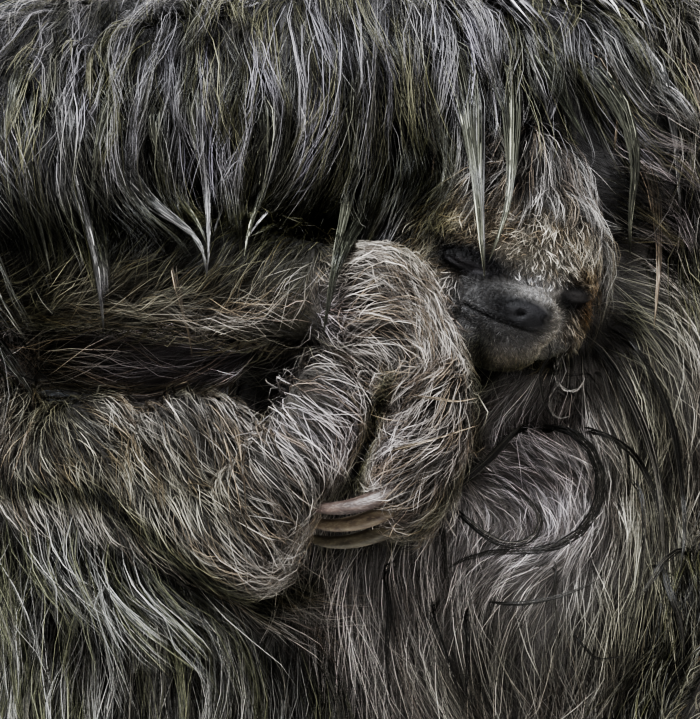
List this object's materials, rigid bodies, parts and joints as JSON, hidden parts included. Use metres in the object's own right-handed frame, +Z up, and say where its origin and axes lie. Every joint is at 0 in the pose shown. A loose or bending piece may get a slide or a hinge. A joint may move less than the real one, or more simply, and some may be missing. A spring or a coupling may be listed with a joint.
{
  "type": "three-toed sloth",
  "caption": "Life-size sleeping three-toed sloth sitting curled on the floor, chin on chest, its right hand hooked round its own raised foot, in a long wet shaggy coat.",
  "frame": {"origin": "on the floor, under the middle of the animal's bounding box", "axes": "+Z up, -Y towards the viewer it faces, +X the animal's own left"},
  "size_m": [0.4126, 0.3586, 0.3858],
  "materials": {
    "mantle_coat": "long wet grey-brown hair in pointed locks, tinged green with algae, pale underfur",
    "limb_coat": "coarse tan and cream hair lying round the limb",
    "face_coat": "short golden-tan fur, dark eye stripes, grizzled grey muzzle",
    "bare_skin": "damp dark grey bare skin",
    "claw_horn": "satin horn, mottled tan to dark grey-brown"
  },
  "bodies": {
    "root": {"upper_arm_right": "mantle_coat", "upper_arm_left": "mantle_coat", "thigh_right": "mantle_coat", "thigh_left": "mantle_coat", "neck": "mantle_coat", "chest": "mantle_coat", "belly": "mantle_coat", "tail": "mantle_coat", "hand_right": "limb_coat", "hand_left": "limb_coat", "foot_right": "limb_coat", "foot_left": "limb_coat", "forearm_right": "limb_coat", "forearm_left": "limb_coat", "shin_right": "limb_coat", "shin_left": "limb_coat", "head": "face_coat", "eyelid_right": "bare_skin", "eyelid_left": "bare_skin", "nose": "bare_skin", "claw_hand_right_1": "claw_horn", "claw_hand_right_2": "claw_horn", "claw_hand_right_3": "claw_horn", "claw_foot_right_1": "claw_horn", "claw_foot_right_2": "claw_horn", "claw_foot_right_3": "claw_horn", "claw_hand_left_1": "claw_horn", "claw_hand_left_2": "claw_horn", "claw_hand_left_3": "claw_horn", "claw_foot_left_1": "claw_horn", "claw_foot_left_2": "claw_horn", "claw_foot_left_3": "claw_horn"}
  },
  "joints": []
}
